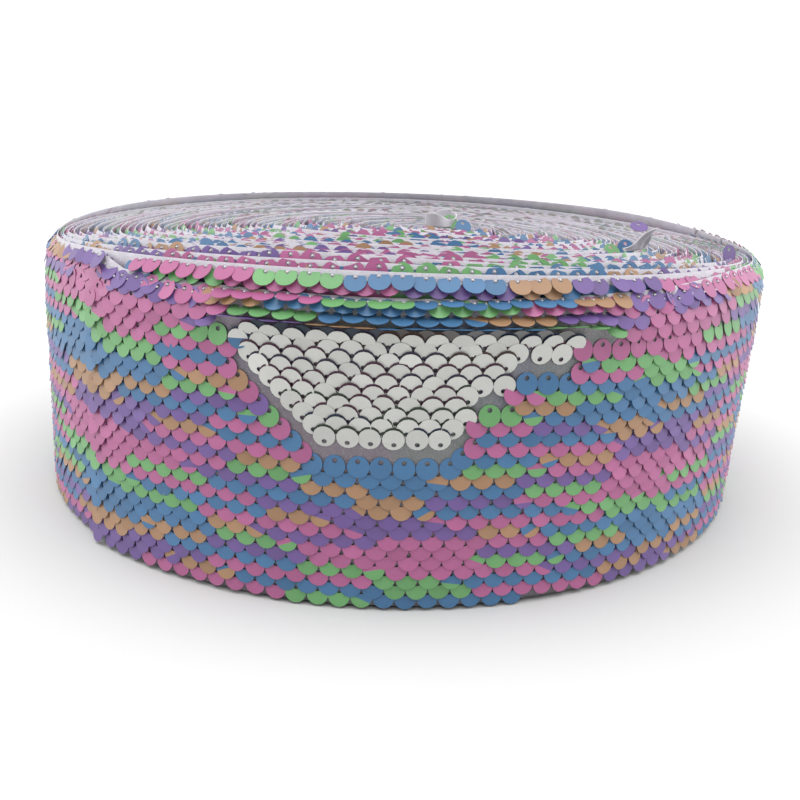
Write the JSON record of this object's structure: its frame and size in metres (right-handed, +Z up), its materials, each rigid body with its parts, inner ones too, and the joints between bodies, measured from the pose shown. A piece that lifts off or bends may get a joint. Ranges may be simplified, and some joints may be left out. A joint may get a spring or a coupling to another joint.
{
  "type": "roll of reversible sequin trim",
  "caption": "Wide reversible sequin trim wound on itself into a flat coreless roll that stands on its edge, with a patch of turned-up discs at the front.",
  "frame": {"origin": "middle of the foot, on the surface that the roll stands on", "axes": "+Z up along the winding's axis, -Y towards the front with the turned-up patch, +X to the right"},
  "size_m": [0.223, 0.2244, 0.0848],
  "materials": {
    "net_ground": "matt polyester net",
    "sequin_pink": "matt printed film",
    "sequin_lilac": "matt printed film",
    "sequin_blue": "matt printed film",
    "sequin_green": "matt printed film",
    "sequin_peach": "matt printed film",
    "sequin_white": "matt white reverse",
    "thread": "clear nylon monofilament"
  },
  "bodies": {
    "root": {"roll": "net_ground", "outer_end": "net_ground", "lifted_edge": "net_ground", "inner_end": "net_ground"}
  },
  "joints": []
}
